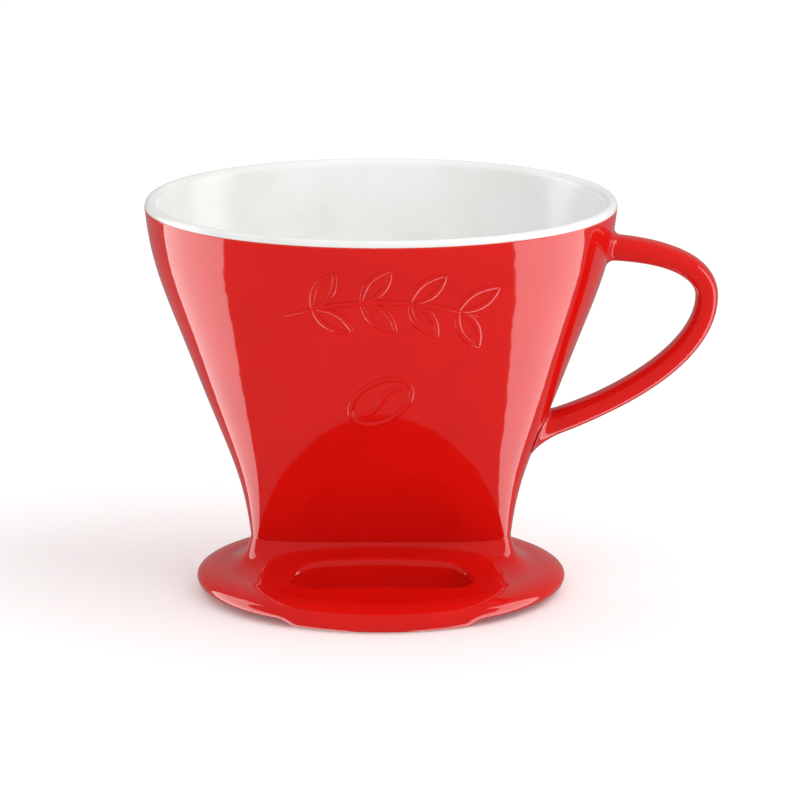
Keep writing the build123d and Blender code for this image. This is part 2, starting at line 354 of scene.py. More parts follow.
@dataclass(frozen=True)
class BareClay:
    """Unglazed fired porcelain, rubbed smooth: a dry, matt, faintly grainy warm white."""

    main: Tint = Tint.BISQUE
    light: Tint = Tint.WHITE_WARM
    roughness: float = 0.85
    grain_mm: float = 0.35
    grain_strength: float = 0.35
    grain_depth: float = 0.05 * MM

    def surface(self, tree: bpy.types.NodeTree, where: Socket) -> Socket:
        """Adds the clay's shader, with its grain at the given position."""
        add = partial(add_node, tree)
        sand = {"Vector": where, "Scale": 1 / (self.grain_mm * MM), "Detail": 4.0}
        grain = add("ShaderNodeTexNoise", sand)
        rough = {"Height": grain, "Strength": self.grain_strength, "Distance": self.grain_depth}
        tints = {0: grain, 6: linear(self.main.value), 7: linear(self.light.value)}
        colour = add("ShaderNodeMix", tints, data_type="RGBA").outputs[2]
        clay = {"Base Color": colour, "Roughness": self.roughness, "Normal": add("ShaderNodeBump", rough)}
        return add("ShaderNodeBsdfPrincipled", clay).outputs[0]


@dataclass(frozen=True)
class Glaze:
    """A fired gloss glaze over porcelain: a clear, hard, glassy coat, a little wavy, over colour.

    The eye sees the colour through sharp reflections that waver slightly, and the colour is a
    touch deeper where the coat lies thicker.
    """

    name: str
    main: Tint
    deep: Tint
    thin: Tint
    roughness: float = 0.05
    ior: float = 1.52
    pool_mm: float = 22.0  # size of the patches where the coat lies thicker
    pool_range: tuple[float, float] = (0.38, 0.7)  # the part of the noise over which it thickens
    ripple_mm: float = 7.0  # spacing of the waviness in the surface
    ripple_depth: float = 0.05
    ripple_share: float = 0.12  # the waves' height, as a share of their spacing
    speck_mm: float = 0.55  # size of the fine pinholes and specks
    speck_range: tuple[float, float] = (0.66, 0.8)
    speck_strength: float = 0.12
    thin_above: float | None = None  # the coat thins towards its upper edge above this height
    thin_over: float = 0.8 * MM
    thin_strength: float = 0.75
    bare_below: float | None = None  # clay shows on the foot below this height
    bare_blur: float = 0.12 * MM

    def colour(self, tree: bpy.types.NodeTree, where: Socket, height: Socket) -> Any:
        """Adds the colour: the main tint, deeper in pools, with specks and a thin upper edge."""
        add = partial(add_node, tree)
        pool = {"Vector": where, "Scale": 1 / (self.pool_mm * MM), "Detail": 3.0, "Roughness": 0.45}
        speck = {"Vector": where, "Scale": 1 / (self.speck_mm * MM), "Detail": 1.0}
        spans = [
            (self.deep, add("ShaderNodeTexNoise", pool), self.pool_range, 1.0),
            (self.thin, add("ShaderNodeTexNoise", speck), self.speck_range, self.speck_strength),
        ]
        if self.thin_above is not None:
            edge = (self.thin_above, self.thin_above + self.thin_over)
            spans.append((self.thin, height, edge, self.thin_strength))
        colour = linear(self.main.value)
        for tint, value, (low, high), strength in spans:
            span = {"Value": value, "From Min": low, "From Max": high, "To Max": strength}
            ease = "SMOOTHSTEP" if value is height else "LINEAR"
            share = add("ShaderNodeMapRange", span, interpolation_type=ease)
            tints = {0: share, 6: colour, 7: linear(tint.value)}
            colour = add("ShaderNodeMix", tints, data_type="RGBA").outputs[2]
        return colour

    def material(self) -> bpy.types.Material:
        """Makes the node material."""
        mat = bpy.data.materials.new(self.name)
        mat.use_nodes = True
        tree = mat.node_tree
        tree.nodes.clear()
        add = partial(add_node, tree)
        where = add("ShaderNodeTexCoord").outputs["Object"]
        height = add("ShaderNodeSeparateXYZ", [where]).outputs["Z"]
        spacing = self.ripple_mm * MM
        waves = {"Vector": where, "Scale": 1 / spacing, "Detail": 1.5, "Roughness": 0.4}
        ripple = add("ShaderNodeTexNoise", waves)
        bump = {"Height": ripple, "Strength": self.ripple_depth, "Distance": spacing * self.ripple_share}
        coat = {
            "Base Color": self.colour(tree, where, height),
            "Roughness": self.roughness,
            "IOR": self.ior,
            "Normal": add("ShaderNodeBump", bump),
        }
        surface = add("ShaderNodeBsdfPrincipled", coat).outputs[0]
        if self.bare_below is not None:
            low, high = self.bare_below - self.bare_blur, self.bare_below + self.bare_blur
            glazed = share_between(tree, height, low, high)
            surface = add("ShaderNodeMixShader", [glazed, BareClay().surface(tree, where), surface])
        add("ShaderNodeOutputMaterial", {"Surface": surface})
        return mat


@dataclass(frozen=True)
class MattPaint:
    """A dead matt paint on board, for the studio's own pieces: even and without a sheen."""

    name: str
    colour: str
    roughness: float
    glow: float = 0.0

    def material(self) -> bpy.types.Material:
        """Makes the node material."""
        mat = bpy.data.materials.new(self.name)
        mat.use_nodes = True
        mat.node_tree.nodes.clear()
        paint = {"Base Color": linear(self.colour), "Roughness": self.roughness}
        paint.update({"Emission Color": (1.0, 1.0, 1.0, 1.0), "Emission Strength": self.glow})
        shader = add_node(mat.node_tree, "ShaderNodeBsdfPrincipled", paint)
        add_node(mat.node_tree, "ShaderNodeOutputMaterial", {"Surface": shader})
        return mat


# ---- the funnel's shape rule


@dataclass(frozen=True)
class FunnelRule:
    """The one rule that the funnel's outside follows, as the CAD model's does."""

    lip_top: float
    foot_top: float = 12.3 * MM
    foot_end: float = 0.8 * MM
    rim_half_width: float = 64.55 * MM
    rim_half_depth: float = 56.35 * MM
    foot_half_width: float = 35.5 * MM
    foot_half_depth: float = 8.0 * MM
    rim_full: float = 0.568
    foot_full: float = 0.95
    bulge: float = 0.013
    s_curve: float = 0.068
    s_ends: float = 0.014
    wall: float = 3.6 * MM

    def height_share(self, z: float) -> float:
        """Share of the way from the foot up to the lip at height z."""
        return min(max((z - self.foot_top) / (self.lip_top - self.foot_top), 0.0), 1.0)

    def spread(self, z: float) -> float:
        """Share of the way from the foot's width to the rim's at height z."""
        s = self.height_share(z)
        curve = self.bulge * math.sin(math.pi * s) - self.s_curve * math.sin(TAU * s)
        return s + curve - self.s_ends * math.sin(2 * TAU * s)

    def half_width(self, z: float) -> float:
        """Half the funnel's width along X at height z."""
        return mix(self.foot_half_width, self.rim_half_width, self.spread(z))

    def ring(self, z: float, count: int) -> np.ndarray:
        """Points round the funnel's outside at height z."""
        b = mix(self.foot_half_depth, self.rim_half_depth, self.height_share(z))
        full = mix(self.foot_full, self.rim_full, math.sqrt(self.spread(z)))
        return np.column_stack([oval(self.half_width(z), b, full, count), np.full(count, z)])

    def place(self, tree: bpy.types.NodeTree, turn: Any, height: Any, inset: Any) -> Socket:
        """Adds the nodes that put a point on the funnel.

        Args:
            tree: the Geometry Nodes tree.
            turn: how far round the funnel, from 0 to 1.
            height: its height.
            inset: how far inside the outer surface, measured level.

        Returns:
            The position socket.
        """
        known: dict[str, Any] = {"turn": turn, "height": height, "inset": inset}
        known["s"] = share_between(tree, height, self.foot_top, self.lip_top)
        wide = self.rim_half_width - self.foot_half_width
        deep = self.rim_half_depth - self.foot_half_depth
        steps = (
            ("half_turn", "MULTIPLY", "s", math.pi),
            ("bulge", "SINE", "half_turn"),
            ("full_turn", "MULTIPLY", "s", TAU),
            ("long_s", "SINE", "full_turn"),
            ("two_turns", "MULTIPLY", "s", 2 * TAU),
            ("short_s", "SINE", "two_turns"),
            ("spread_1", "MULTIPLY_ADD", "bulge", self.bulge, "s"),
            ("spread_2", "MULTIPLY_ADD", "long_s", -self.s_curve, "spread_1"),
            ("spread", "MULTIPLY_ADD", "short_s", -self.s_ends, "spread_2"),
            ("width", "MULTIPLY_ADD", "spread", wide, self.foot_half_width),
            ("depth", "MULTIPLY_ADD", "s", deep, self.foot_half_depth),
            ("a", "SUBTRACT", "width", "inset"),
            ("b", "SUBTRACT", "depth", "inset"),
            ("root", "POWER", "spread", 0.5),
            ("full", "MULTIPLY_ADD", "root", self.rim_full - self.foot_full, self.foot_full),
            *OVAL_STEPS,
            ("x", "MULTIPLY", "unit_x", "a"),
            ("y", "MULTIPLY", "unit_y", "b"),
        )
        run_steps(tree, known, steps)
        point = add_node(tree, "ShaderNodeCombineXYZ", [known["x"], known["y"], height])
        return point.outputs[0]


# ---- sub-assemblies


@dataclass
class Funnel:
    """The porcelain funnel: its white body, its red coat, its ribs and its drain floor."""

    rule: FunnelRule
    white: Glaze
    red: Glaze
    coat: float = 0.12 * MM  # how far the red coat stands over the white
    coat_root: float = 0.3 * MM  # how far its hidden side lies inside the white
    coat_low: float = 11.2 * MM
    coat_swell: float = 1.3  # how much thicker it is just before its feathered edge
    coat_stretches: tuple[float, float, float] = (0.49, 0.51, 0.99)  # where its stretches end
    coat_bend: float = 0.93  # the share of its height where it starts on to the lip's round
    coat_feather: float = 0.985  # and the share where it starts to thin out
    lip_height: float = 1.7 * MM  # height of the lip's round over the straight walls
    colour_line: float = 1.9 * MM  # the red coat ends this far below the lip's top
    around: int = 384
    rows: int = 220
    stretches: tuple[float, float, float] = (0.44, 0.58, 0.98)  # where the body's stretches end
    floor_bed: float = 0.4 * MM  # the drain floor's edge lies this deep in the wall
    floor_around: int = 192
    hole_radius: float = 2.25 * MM
    hole_round: float = 0.9 * MM
    cove: float = 1.5 * MM
    ribs: int = 9
    rib_pitch: float = 6.6 * MM
    rib_fan: float = math.radians(11)
    rib_low: float = 13.3 * MM
    rib_high: float = 73.5 * MM
    rib_half: float = 1.6 * MM
    rib_height: float = 1.0 * MM
    rib_root: float = 0.5 * MM
    rib_ends: tuple[float, float] = (0.03, 0.12)  # shares of its length over which a rib fades
    rib_tip: float = 0.25  # the width left at its ends

    def sizes(self, glaze: Glaze) -> dict[str, Any]:
        """The tree inputs that the body and the coat share."""
        return {
            "Around": self.around + 1,
            "Rows": self.rows + 1,
            "Wall": self.rule.wall - self.coat,
            "Lip Height": self.lip_height,
            "Lip Top": self.rule.lip_top,
            "Glaze": glaze.material(),
        }

    def body_tree(self, values: dict[str, Any]) -> bpy.types.NodeTree:
        """The tree of the white body: up the outside, over the lip, down the inside, and closed."""
        tree, sockets = new_tree("funnel_body_rule", values)
        grid, turn, along = grid_shares(tree, sockets)
        known: dict[str, Any] = dict(sockets)
        ends = (0.0, *self.stretches, 1.0)
        for name, low, high in zip(("rise", "arc", "fall", "close"), ends, ends[1:]):
            known[name] = share_between(tree, along, low, high)
        steps = (
            ("angle", "MULTIPLY", "arc", math.pi),
            ("sine", "SINE", "angle"),
            ("cosine", "COSINE", "angle"),
            ("straight_top", "SUBTRACT", "Lip Top", "Lip Height"),
            ("length", "SUBTRACT", "straight_top", "Foot End"),
            ("z_1", "MULTIPLY_ADD", "rise", "length", "Foot End"),
            ("z_2", "MULTIPLY_ADD", "sine", "Lip Height", "z_1"),
            ("drop", "MULTIPLY", "fall", "length"),
            ("z", "SUBTRACT", "z_2", "drop"),
            ("in_1", "MULTIPLY_ADD", "cosine", -0.5, 0.5),
            ("in_2", "SUBTRACT", "in_1", "close"),
            ("inset", "MULTIPLY_ADD", "in_2", "Wall", "Inset"),
        )
        run_steps(tree, known, steps)
        point = self.rule.place(tree, turn, known["z"], known["inset"])
        return close_grid(tree, grid, point, sockets["Glaze"])

    def coat_tree(self, values: dict[str, Any]) -> bpy.types.NodeTree:
        """The tree of the red coat: up the outside, on to the lip's round, and back underneath."""
        tree, sockets = new_tree("colour_coat_rule", values)
        grid, turn, along = grid_shares(tree, sockets)
        known: dict[str, Any] = dict(sockets)
        ends = (0.0, *self.coat_stretches, 1.0)
        for name, low, high in zip(("there", "tip", "back", "close"), ends, ends[1:]):
            known[name] = share_between(tree, along, low, high)
        steps = (
            ("out", "SUBTRACT", "there", "back"),
            ("over_line", "SUBTRACT", "Lip Height", "Colour Line"),
            ("clear", "MAXIMUM", "over_line", 0.0),
            ("below_lip", "MAXIMUM", "Lip Height", "Colour Line"),
            ("stop_sine", "DIVIDE", "clear", "Lip Height"),
            ("stop", "ARCSINE", "stop_sine"),
            ("straight_top", "SUBTRACT", "Lip Top", "below_lip"),
            ("length", "SUBTRACT", "straight_top", "Low"),
        )
        run_steps(tree, known, steps)
        known["rise"] = share_between(tree, known["out"], 0.0, self.coat_bend)
        known["arc"] = share_between(tree, known["out"], self.coat_bend, 1.0)
        known["feather"] = share_between(tree, known["out"], self.coat_feather, 1.0)
        steps = (
            ("angle", "MULTIPLY", "arc", "stop"),
            ("sine", "SINE", "angle"),
            ("cosine", "COSINE", "angle"),
            ("z_1", "MULTIPLY_ADD", "rise", "length", "Low"),
            ("z", "MULTIPLY_ADD", "sine", "Lip Height", "z_1"),
            ("in_1", "MULTIPLY_ADD", "cosine", -0.5, 0.5),
            ("deep_1", "SUBTRACT", "tip", "close"),
            ("deep_2", "MULTIPLY", "deep_1", "Root"),
            ("thin_1", "POWER", "feather", 2.0),
            ("thin_2", "MULTIPLY_ADD", "thin_1", "Coat", "deep_2"),
            ("inset", "MULTIPLY_ADD", "in_1", "Wall", "thin_2"),
        )
        run_steps(tree, known, steps)
        point = self.rule.place(tree, turn, known["z"], known["inset"])
        return close_grid(tree, grid, point, sockets["Glaze"])

    def build_body(self) -> bpy.types.Object:
        """Makes the white body."""
        values = {**self.sizes(self.white), "Inset": self.coat, "Foot End": self.rule.foot_end}
        base = mesh_object("body_seed", np.zeros((1, 3)), [])
        piece = bake_nodes("white_funnel_body", base, self.body_tree(values), values)
        clean(piece)
        return dress(piece, "white_glaze", "funnel_body")

    def build_coat(self) -> bpy.types.Object:
        """Makes the red coat, whose feathered edge dips just under the white."""
        values = {
            **self.sizes(self.red),
            "Coat": self.coat * self.coat_swell,
            "Root": self.coat_root,
            "Colour Line": self.colour_line,
            "Low": self.coat_low,
        }
        base = mesh_object("coat_seed", np.zeros((1, 3)), [])
        piece = bake_nodes("red_colour_coat", base, self.coat_tree(values), values)
        clean(piece)
        return dress(piece, "red_glaze", "funnel_colour_glaze")

    def floor_rows(self, top: float, under: float) -> list[tuple[float, float]]:
        """The drain floor's section, from the wall's foot, down the cove, through the hole and back.

        Args:
            top: the floor's height beside the cove.
            under: the height of its underside.

        Returns:
            Shares of the way from the wall to the hole, each with a height.
        """
        turns = np.linspace(0, math.pi / 2, 9)
        cove = [(0.28 - 0.16 * math.cos(a), top + self.cove * (1 - math.sin(a))) for a in turns]
        falls = ((0.4, 0.05), (0.6, 0.25), (0.8, 0.5), (0.92, 0.7))
        dish = [(share, top - fall * MM) for share, fall in falls]
        turns = np.linspace(0, math.pi / 2, 7)
        brim = top - 0.75 * MM
        mouth = [(0.965 + 0.035 * math.sin(a), brim - self.hole_round * (1 - math.cos(a))) for a in turns]
        rises = ((1.0, 0.5), (0.985, 0.12), (0.95, 0.0), (0.3, 0.0), (0.0, 0.0))
        back = [(share, under + rise * MM) for share, rise in rises]
        return [(0.0, top + self.cove + 0.1 * MM), *cove, *dish, *mouth, *back]

    def build_floor(self) -> bpy.types.Object:
        """Makes the drain floor: dished to its one hole, and coved up to the wall."""
        low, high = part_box("drain_floor")
        rows = self.floor_rows(high.z, low.z)
        points: list[np.ndarray] = []
        for share, z in rows:
            a = mix(high.x + self.floor_bed, self.hole_radius, share**0.9)
            b = mix(high.y + self.floor_bed, self.hole_radius, share)
            loop = oval(a, b, mix(self.rule.foot_full, ROUND, share), self.floor_around)
            points.append(np.column_stack([loop, np.full(self.floor_around, z)]))
        faces = ring_faces(len(rows), self.floor_around, closed=True)
        piece = mesh_object("drain_floor_glazed", np.concatenate(points), faces)
        piece.data.materials.append(self.white.material())
        clean(piece)
        return dress(piece, "white_glaze_floor", "drain_floor")

    def build_ribs(self, body: bpy.types.Object, side: "Side") -> bpy.types.Object:
        """Makes the ribs of one wall, which fan out upwards and die away at their tops."""
        tall = self.rib_high - self.rib_low
        half = (self.ribs - 1) / 2
        lines = []
        for i in range(self.ribs):
            across = i - half
            lean = math.tan(self.rib_fan * across / half) * tall
            line = []
            for share in np.linspace(0, 1, 61).tolist():
                end = min(share / self.rib_ends[0], (1 - share) / self.rib_ends[1], 1.0)
                x = across * self.rib_pitch + lean * share
                line.append((x, self.rib_low + tall * share, mix(self.rib_tip, 1.0, float(smooth(end)))))
            lines.append(line)
        name = f"paper_ribs_{side.name.lower()}"
        glaze = self.white.material()
        lay = RaisedLines(name, body, side, self.rib_half, self.rib_height, self.rib_root, glaze)
        return dress(lay.build(lines), "white_glaze")

    def skin(self) -> bpy.types.Object:
        """Makes the bare outer surface, which other pieces are laid on and which is then removed."""
        heights = np.linspace(self.rule.foot_top, self.rule.lip_top - self.lip_height, self.rows)
        rings = [self.rule.ring(z, self.around) for z in heights]
        return mesh_object("wall_skin", np.concatenate(rings), ring_faces(self.rows, self.around))

    def build(self) -> list[bpy.types.Object]:
        """Makes and dresses every piece of the funnel but the relief."""
        body = self.build_body()
        ribs = [self.build_ribs(body, side) for side in (Side.INSIDE_FRONT, Side.INSIDE_BACK)]
        return [body, self.build_coat(), self.build_floor(), *ribs]


class Side(Enum):
    """Where raised lines are laid: how far back their rays start, and which way they go along Y."""

    OUTSIDE_FRONT = (-0.12, 1.0)
    INSIDE_FRONT = (0.0, -1.0)
    INSIDE_BACK = (0.0, 1.0)


@dataclass
class RaisedLines:
    """Lines drawn flat, given a soft rounded section and laid on the funnel's wall."""

    name: str
    wall: bpy.types.Object
    side: Side
    half_width: float
    height: float
    root: float
    glaze: bpy.types.Material
    step: float = 0.6 * MM
    around: int = 20
    ray: float = 0.3

    def tree(self, values: dict[str, Any]) -> bpy.types.NodeTree:
        """The tree: resample, sweep a bell-shaped section, and cast each point on to the wall."""
        tree, sockets = new_tree(f"{self.name}_lines", values)
        add = partial(add_node, tree)
        even = {"Curve": sockets["Geometry"], "Length": sockets["Step"]}
        lines = add("GeometryNodeResampleCurve", even, mode="LENGTH")
        lines = add("GeometryNodeSetCurveNormal", [lines], mode="Z_UP")
        circle = {"Resolution": self.around, "Radius": 1.0}
        ring = add("GeometryNodeCurvePrimitiveCircle", circle, mode="RADIUS")
        spot = add("ShaderNodeSeparateXYZ", [add("GeometryNodeInputPosition")])
        known: dict[str, Any] = {"x": spot.outputs["X"], "y": spot.outputs["Y"], **sockets}
        steps = (
            ("turn", "MULTIPLY", "x", math.pi),
            ("cosine", "COSINE", "turn"),
            ("bell", "MULTIPLY_ADD", "cosine", 0.5, 0.5),
            ("upper", "GREATER_THAN", "y", 0.0001),
            ("raised", "MULTIPLY", "bell", "upper"),
            ("sunk", "MINIMUM", "y", 0.0),
            ("low", "MULTIPLY", "sunk", "Root"),
            ("tall", "MULTIPLY_ADD", "raised", "Height", "low"),
            ("across", "MULTIPLY", "x", "Half Width"),
        )
        run_steps(tree, known, steps)
        section_point = add("ShaderNodeCombineXYZ", [known["across"], known["tall"], 0.0])
        section = add("GeometryNodeSetPosition", {"Geometry": ring, "Position": section_point})
        sweep = {"Curve": lines, "Profile Curve": section, "Fill Caps": True}
        swept = add("GeometryNodeCurveToMesh", {**sweep, "Scale": add("GeometryNodeInputRadius")})
        flat = add("ShaderNodeSeparateXYZ", [add("GeometryNodeInputPosition")])
        start = [flat.outputs["X"], sockets["Start"], flat.outputs["Y"]]
        wall = add("GeometryNodeObjectInfo", {"Object": sockets["Wall"]}, transform_space="RELATIVE")
        rays = {
            "Target Geometry": wall.outputs["Geometry"],
            "Source Position": add("ShaderNodeCombineXYZ", start),
            "Ray Direction": add("ShaderNodeCombineXYZ", [0.0, sockets["Direction"], 0.0]),
            "Ray Length": self.ray,
        }
        hit = add("GeometryNodeRaycast", rays).outputs
        lift = {0: hit["Hit Normal"], 3: flat.outputs["Z"]}
        lifted = [hit["Hit Position"], add("ShaderNodeVectorMath", lift, operation="SCALE")]
        place = add("ShaderNodeVectorMath", lifted, operation="ADD")
        laid = add("GeometryNodeSetPosition", {"Geometry": swept, "Position": place})
        end_tree(tree, laid, sockets["Glaze"])
        return tree

    def build(self, lines: Sequence[Sequence[Point]]) -> bpy.types.Object:
        """Makes the raised lines.

        Args:
            lines: each line as points of x, height and width share.

        Returns:
            The finished mesh object.
        """
        curve = bpy.data.curves.new(self.name, "CURVE")
        curve.dimensions = "3D"
        for line in lines:
            spline = curve.splines.new("POLY")
            spline.points.add(len(line) - 1)
            for point, (x, z, share) in zip(spline.points, line):
                point.co = (x, z, 0.0, 1.0)
                point.radius = share
        base = bpy.data.objects.new(self.name, curve)
        bpy.context.scene.collection.objects.link(base)
        start, direction = self.side.value
        values = {
            "Wall": self.wall,
            "Start": start,
            "Direction": direction,
            "Half Width": self.half_width,
            "Height": self.height,
            "Root": self.root,
            "Step": self.step,
            "Glaze": self.glaze,
        }
        piece = bake_nodes(self.name, base, self.tree(values), values)
        clean(piece)
        return piece


@dataclass
class Handle:
    """The pulled loop handle, whose two roots spread on to the funnel's wall."""

    rule: FunnelRule
    skin: bpy.types.Object
    glaze: Glaze
    drop: float = 13.5 * MM
    span: float = 50.0 * MM
    reach: float = 24.3 * MM
    out_drop: float = 27.0 * MM
    top_lean: float = math.radians(-3.5)
    low_lean: float = math.radians(18.0)
    pulls: tuple[float, float, float, float] = (17.0 * MM, 7.5 * MM, 15.0 * MM, 25.0 * MM)
    bury: float = 2.6 * MM
    depth: float = 10.5 * MM
    thick: float = 6.2 * MM
    root_thick: float = 7.0 * MM
    full: float = 0.70
    spread_upper: tuple[float, float] = (1.8 * MM, 2.2 * MM)  # radii of the roots: inside, outside
    spread_lower: tuple[float, float] = (1.6 * MM, 6.0 * MM)
    sunk: float = 1.0 * MM  # the roots end this deep in the wall
    around: int = 72
    rows: int = 300
    closing: float = 0.01  # the share of the rows that closes each end
    crowding: float = 0.7  # how much closer together the rows lie near the roots
    root_range: tuple[float, float] = (0.02, 0.2)  # the shares over which a root grows slim
    waist: tuple[float, float] = (0.45, 0.55)  # where the upper root's sizes give way to the lower's

    def path(self) -> bpy.types.Object:
        """Makes the curve that runs through the middle of the handle, from root to root."""
        top_z = self.rule.lip_top - self.drop
        low_z = top_z - self.span
        start = Vector((self.rule.half_width(top_z), 0, top_z))
        out = Vector((self.rule.rim_half_width + self.reach, 0, self.rule.lip_top - self.out_drop))
        end = Vector((self.rule.half_width(low_z), 0, low_z))
        lead_out = Vector((math.cos(self.top_lean), 0, math.sin(self.top_lean)))
        lead_in = Vector((math.cos(self.low_lean), 0, math.sin(self.low_lean)))
        up = Vector((0, 0, 1))
        stops = (
            (start - self.bury * lead_out, self.bury / 3 * lead_out, self.bury / 3 * lead_out),
            (start, self.bury / 3 * lead_out, self.pulls[0] * lead_out),
            (out, -self.pulls[1] * up, -self.pulls[2] * up),
            (end, -self.pulls[3] * lead_in, -self.bury / 3 * lead_in),
            (end - self.bury * lead_in, -self.bury / 3 * lead_in, -self.bury / 3 * lead_in),
        )
        curve = bpy.data.curves.new("handle_path", "CURVE")
        curve.dimensions = "3D"
        curve.resolution_u = 64
        spline = curve.splines.new("BEZIER")
        spline.bezier_points.add(len(stops) - 1)
        for point, (place, before, after) in zip(spline.bezier_points, stops):
            point.handle_left_type = point.handle_right_type = "FREE"
            point.co = place
            point.handle_left = place - before
            point.handle_right = place + after
        path = bpy.data.objects.new("handle_path", curve)
        bpy.context.scene.collection.objects.link(path)
        return path

    def wall_beside(self, tree: bpy.types.NodeTree, wall: Socket, point: Socket) -> tuple[Any, Socket]:
        """Adds the nodes that find the wall's nearest point, and the way the wall faces there."""
        near = {"Geometry": wall, "Sample Position": point}
        found = add_node(tree, "GeometryNodeProximity", near, target_element="FACES")
        facing = add_node(tree, "GeometryNodeInputNormal")
        ask = {"Mesh": wall, "Value": facing, "Sample Position": point}
        normal = add_node(tree, "GeometryNodeSampleNearestSurface", ask, data_type="FLOAT_VECTOR")
        return found.outputs, normal.outputs["Value"]

    def tree(self, values: dict[str, Any]) -> bpy.types.NodeTree:
        """The tree: sweep an oval along the path, spread it near the wall, and bed it in the wall."""
        tree, sockets = new_tree("handle_sweep", values)
        add = partial(add_node, tree)
        grid, turn, along = grid_shares(tree, sockets)
        known: dict[str, Any] = {"turn": turn, "full": sockets["Full"], **sockets}
        ends = (0.0, self.closing, 1 - self.closing, 1.0)
        for name, low, high in zip(("open", "s", "shut"), ends, ends[1:]):
            known[name] = share_between(tree, along, low, high)
        steps = (
            ("whole", "SUBTRACT", "open", "shut"),
            ("turn_s", "MULTIPLY", "s", TAU),
            ("ease", "SINE", "turn_s"),
            ("factor", "MULTIPLY_ADD", "ease", -self.crowding / TAU, "s"),
            ("other", "SUBTRACT", 1.0, "factor"),
            ("to_root", "MINIMUM", "factor", "other"),
        )
        run_steps(tree, known, steps)
        known["slim"] = share_between(tree, known["to_root"], *self.root_range)
        known["lower"] = share_between(tree, known["factor"], *self.waist)
        on_path = {"Curves": sockets["Geometry"], "Factor": known["factor"]}
        sample = add("GeometryNodeSampleCurve", on_path, mode="FACTOR", use_all_curves=True)
        middle = add("ShaderNodeSeparateXYZ", [sample.outputs["Position"]]).outputs
        tangent = add("ShaderNodeSeparateXYZ", [sample.outputs["Tangent"]]).outputs
        known.update(px=middle["X"], pz=middle["Z"], tx=tangent["X"], tz=tangent["Z"])
        steps = (
            *OVAL_STEPS,
            ("slimming", "SUBTRACT", "Thick", "Root Thick"),
            ("thickness", "MULTIPLY_ADD", "slim", "slimming", "Root Thick"),
            ("half_thick", "MULTIPLY", "thickness", 0.5),
            ("half_deep", "MULTIPLY", "Depth", 0.5),
            ("u_1", "MULTIPLY", "unit_x", "half_thick"),
            ("v_1", "MULTIPLY", "unit_y", "half_deep"),
            ("u", "MULTIPLY", "u_1", "whole"),
            ("v", "MULTIPLY", "v_1", "whole"),
            ("nx", "MULTIPLY", "tz", -1.0),
            ("x", "MULTIPLY_ADD", "nx", "u", "px"),
            ("z", "MULTIPLY_ADD", "tx", "u", "pz"),
            ("dir_u", "MULTIPLY", "cosine", "whole"),
            ("dir_v", "MULTIPLY", "sine", "whole"),
            ("dir_x", "MULTIPLY", "nx", "dir_u"),
            ("dir_z", "MULTIPLY", "tx", "dir_u"),
            ("outer", "MULTIPLY_ADD", "unit_x", 0.5, 0.5),
            ("upper_gap", "SUBTRACT", "Upper Out", "Upper In"),
            ("upper_r", "MULTIPLY_ADD", "outer", "upper_gap", "Upper In"),
            ("lower_gap", "SUBTRACT", "Lower Out", "Lower In"),
            ("lower_r", "MULTIPLY_ADD", "outer", "lower_gap", "Lower In"),
            ("r_gap", "SUBTRACT", "lower_r", "upper_r"),
            ("r", "MULTIPLY_ADD", "lower", "r_gap", "upper_r"),
        )
        run_steps(tree, known, steps)
        bare = add("ShaderNodeCombineXYZ", [known["x"], known["v"], known["z"]]).outputs[0]
        info = add("GeometryNodeObjectInfo", {"Object": sockets["Wall"]}, transform_space="RELATIVE")
        wall = info.outputs["Geometry"]
        near, wall_normal = self.wall_beside(tree, wall, bare)
        known["gap"] = near["Distance"]
        steps = (
            ("near_1", "DIVIDE", "gap", "r"),
            ("near_2", "MINIMUM", "near_1", 1.0),
            ("near_3", "SUBTRACT", 1.0, "near_2"),
            ("near_4", "MULTIPLY", "near_3", "near_3"),
            ("near_5", "SUBTRACT", 1.0, "near_4"),
            ("near_6", "SQRT", "near_5"),
            ("near_7", "SUBTRACT", 1.0, "near_6"),
            ("flare", "MULTIPLY", "near_7", "r"),
        )
        run_steps(tree, known, steps)
        way = add("ShaderNodeCombineXYZ", [known["dir_x"], known["dir_v"], known["dir_z"]])
        off_wall = add("ShaderNodeVectorMath", [way, wall_normal], operation="PROJECT")
        along_wall = add("ShaderNodeVectorMath", [way, off_wall], operation="SUBTRACT")
        flare = [along_wall, known["flare"], bare]
        spread = add("ShaderNodeVectorMath", flare, operation="MULTIPLY_ADD").outputs[0]
        bed, facing = self.wall_beside(tree, wall, spread)
        offset = add("ShaderNodeVectorMath", [spread, bed["Position"]], operation="SUBTRACT")
        height = add("ShaderNodeVectorMath", [offset, facing], operation="DOT_PRODUCT")
        known["height"] = height.outputs["Value"]
        steps = (
            ("below", "MULTIPLY", "height", -1.0),
            ("too_deep", "SUBTRACT", "below", "Sunk"),
            ("back", "MAXIMUM", "too_deep", 0.0),
        )
        run_steps(tree, known, steps)
        push = add("ShaderNodeVectorMath", {0: facing, 3: known["back"]}, operation="SCALE")
        place = add("ShaderNodeVectorMath", [spread, push], operation="ADD").outputs[0]
        return close_grid(tree, grid, place, sockets["Glaze"])

    def build(self) -> bpy.types.Object:
        """Makes the handle with both of its slip joints."""
        values = {
            "Wall": self.skin,
            "Around": self.around + 1,
            "Rows": self.rows + 1,
            "Depth": self.depth,
            "Thick": self.thick,
            "Root Thick": self.root_thick,
            "Full": self.full,
            "Sunk": self.sunk,
            "Upper In": self.spread_upper[0],
            "Upper Out": self.spread_upper[1],
            "Lower In": self.spread_lower[0],
            "Lower Out": self.spread_lower[1],
            "Glaze": self.glaze.material(),
        }
        piece = bake_nodes("glazed_handle", self.path(), self.tree(values), values)
        clean(piece)
        joints = ("handle_upper_slip_joint", "handle_lower_slip_joint")
        return dress(piece, "red_glaze_handle", "handle", *joints)


